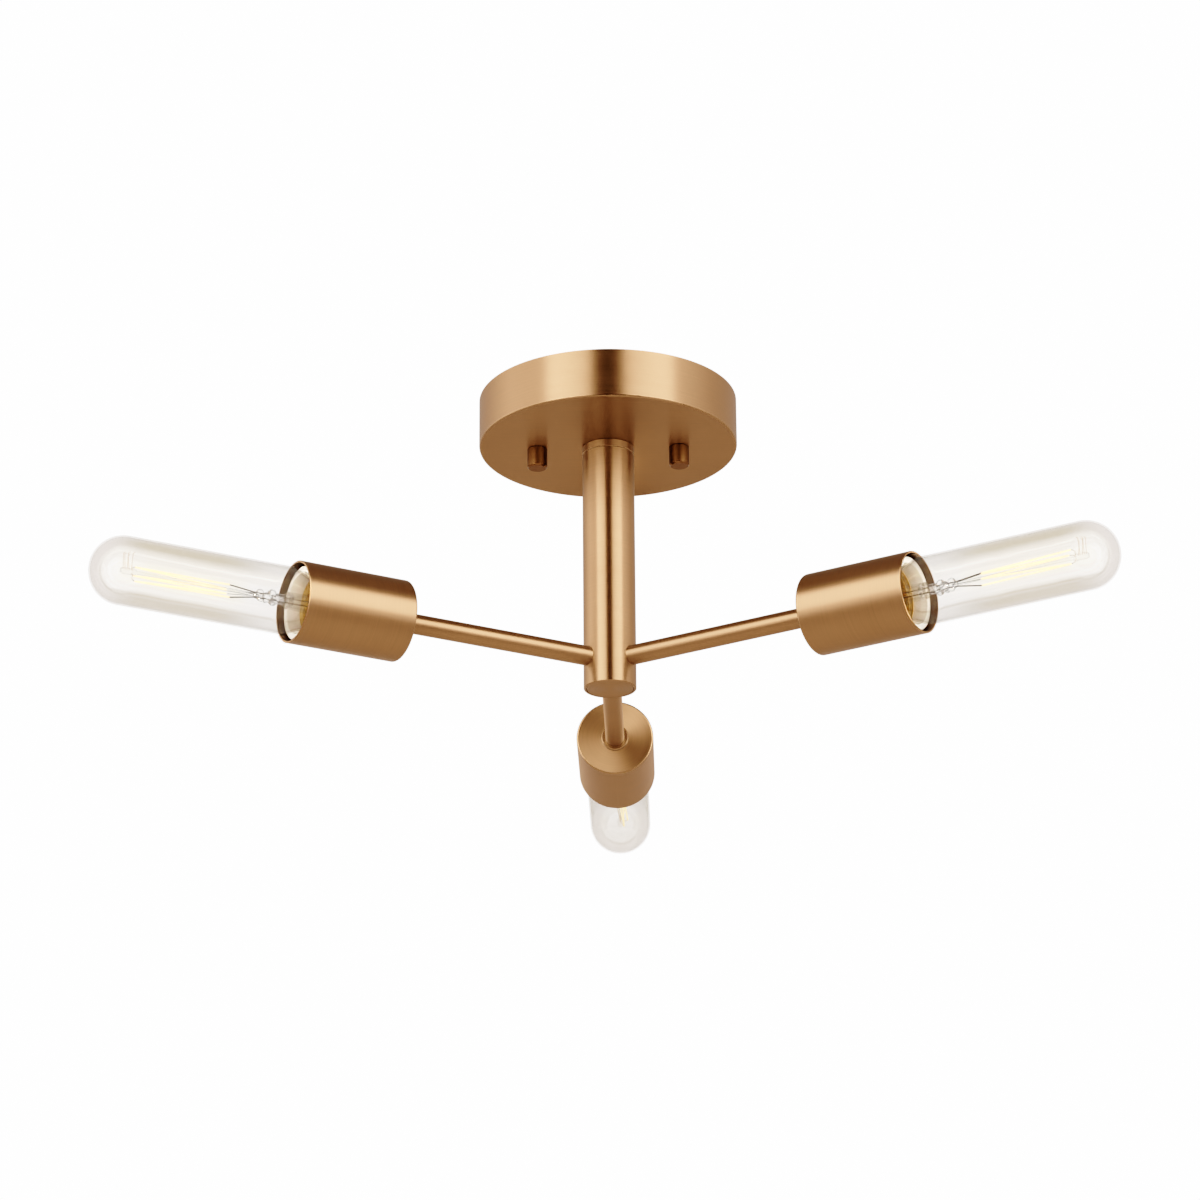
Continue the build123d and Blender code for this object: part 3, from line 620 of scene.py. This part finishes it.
# ---------------------------------------------------------------- light
def softbox(name, azimuth, elevation, distance, width, height, radiance, target=(0, 0, -0.1), colour=(1.0, 0.995, 0.945)):
    """A large soft panel. Azimuth 0 is in front of the object, towards the camera, and turns to its right."""
    a, e = math.radians(azimuth), math.radians(elevation)
    d = Vector((math.sin(a) * math.cos(e), -math.cos(a) * math.cos(e), math.sin(e)))
    light = bpy.data.lights.new(name, "AREA")
    light.shape = "RECTANGLE"
    light.size, light.size_y = width, height
    light.energy = radiance * math.pi * width * height
    light.color = colour
    o = bpy.data.objects.new(name, light)
    bpy.context.scene.collection.objects.link(o)
    o.location = Vector(target) + d * distance
    o.rotation_mode = "QUATERNION"
    o.rotation_quaternion = (-d).to_track_quat("-Z", "Y")
    o.visible_camera = False
    return o


softbox("key_left", -33, 18, 2.2, 1.55, 1.90, 1.22)
softbox("key_right", 38.2, 18.5, 2.2, 1.74, 1.90, 1.18)


def lamp_glow(arm, energy=0.0075):
    """The lit filament's light on its own socket: a small warm panel inside the lamp that faces the mouth of the cup."""
    a = Vector(AXIS[arm])
    light = bpy.data.lights.new(f"lamp_glow_{arm}", "AREA")
    light.shape = "DISK"
    light.size = 0.012
    light.energy = energy
    light.spread = math.radians(76)
    light.color = (1.0, 0.90, 0.74)
    o = bpy.data.objects.new(f"lamp_glow_{arm}", light)
    bpy.context.scene.collection.objects.link(o)
    o.location = Vector(ARM_O) + a * 0.199
    o.rotation_mode = "QUATERNION"
    o.rotation_quaternion = (-a).to_track_quat("-Z", "Y")
    o.visible_camera = False


for arm in ARMS:
    lamp_glow(arm)


def flag():
    """A black studio flag behind the camera, so that the middle of polished round parts stays dark."""
    nx, nz = 12, 24
    verts = [(-0.6 + 1.2 * i / nx, 0.0, -0.95 + 2.75 * k / nz) for k in range(nz + 1) for i in range(nx + 1)]
    faces = [(k * (nx + 1) + i, k * (nx + 1) + i + 1, (k + 1) * (nx + 1) + i + 1, (k + 1) * (nx + 1) + i) for k in range(nz) for i in range(nx)]
    me = bpy.data.meshes.new("studio_flag")
    me.from_pydata(verts, [], faces)
    o = bpy.data.objects.new("studio_flag", me)
    bpy.context.scene.collection.objects.link(o)
    o.location = (0, -2.75, 0)
    m, t, b, co = material("black_cloth", (0.02, 0.02, 0.02))
    t.put(b.inputs["Base Color"], tone(t, (0.02, 0.02, 0.02), t.noise(co, 300.0, 2.0, 0.5), 0.7, 1.0))
    b.inputs["Roughness"].default_value = 0.9
    me.materials.append(m)
    o.visible_camera = False
    o.visible_transmission = False
    o.visible_shadow = False


flag()

scene = bpy.context.scene
world = bpy.data.worlds.new("studio")
scene.world = world
world.use_nodes = True
t = Tree(world.node_tree)
out = t.node("ShaderNodeOutputWorld")
bg = t.node("ShaderNodeBackground")
t.t.links.new(bg.outputs[0], out.inputs["Surface"])
d = t.node("ShaderNodeTexCoord").outputs["Generated"]
x, y, z = t.xyz(d)
# pale studio walls by the compass: 0 is behind the camera, positive to its right
turn = t.math("ADD", t.math("DIVIDE", t.math("ARCTAN2", x, t.math("MULTIPLY", y, -1.0)), 2 * math.pi), 0.5)
WALLS = [(-180, 0.43), (-134, 0.50), (-108, 0.76), (-97, 0.94), (-70, 0.97), (-50, 0.88), (-20, 0.5), (-10, 0.15),
         (10, 0.11), (20, 0.42), (45, 0.80), (64, 0.91), (75, 0.84), (87, 0.71), (108, 0.50), (134, 0.44), (180, 0.43)]
ramp = t.node("ShaderNodeValToRGB")
ramp.color_ramp.interpolation = "LINEAR"
els = ramp.color_ramp.elements
els[0].position, els[1].position = 0.0, 1.0
els[0].color = (WALLS[0][1],) * 3 + (1.0,)
els[1].color = (WALLS[-1][1],) * 3 + (1.0,)
for az, v in WALLS[1:-1]:
    e = els.new(az / 360.0 + 0.5)
    e.color = (v, v, v, 1.0)
t.put(ramp.inputs[0], turn)
side = t.node("ShaderNodeRGBToBW")
t.put(side.inputs[0], ramp.outputs[0])
level = side.outputs[0]
level = t.mixf(t.ramp(z, 0.5, 0.8, smooth=True), level, 0.22)
rays = t.node("ShaderNodeLightPath")
seen = t.math("MAXIMUM", rays.outputs["Is Camera Ray"], rays.outputs["Is Transmission Ray"])
t.put(bg.inputs["Color"], (1.0, 1.0, 1.0))
t.put(bg.inputs["Strength"], t.mixf(seen, level, 1.4))

# ---------------------------------------------------------------- camera
cam = bpy.data.cameras.new("photo_camera")
cam_ob = bpy.data.objects.new("photo_camera", cam)
scene.collection.objects.link(cam_ob)
scene.camera = cam_ob
cam.sensor_fit = "HORIZONTAL"
cam.sensor_width = 36.0
cam.lens = 125.50
cam.clip_start, cam.clip_end = 0.05, 60.0
right = Vector((0.9996654, 0.0249346, -0.0068826)).normalized()
up = Vector((0.0154625, -0.3627245, 0.9317681))
up = (up - right * up.dot(right)).normalized()
back = right.cross(up)
m = Matrix((right, up, back)).transposed().to_4x4()
m.translation = Vector((0.037609, -1.894573, -0.843029))
cam_ob.matrix_world = m

# ---------------------------------------------------------------- picture response: a gentle photographic S-curve
scene.cycles.transparent_max_bounces = 32
view = scene.view_settings
view.view_transform = "Standard"
view.look = "None"
view.use_curve_mapping = True
cm = view.curve_mapping
cm.use_clip = False
cm.extend = "EXTRAPOLATED"
curve = cm.curves[3]
POINTS = [(0.0, 0.0), (0.0456, 0.003), (0.056, 0.0057), (0.0726, 0.0125), (0.0877, 0.0225), (0.1167, 0.048), (0.1557, 0.10),
          (0.1981, 0.16), (0.2645, 0.25), (0.3491, 0.36), (0.4808, 0.50), (0.6499, 0.65), (1.0, 0.84), (1.3823, 1.0)]
curve.points[0].location = POINTS[0]
curve.points[-1].location = POINTS[-1]
for p in POINTS[1:-1]:
    curve.points.new(*p)
cm.update()
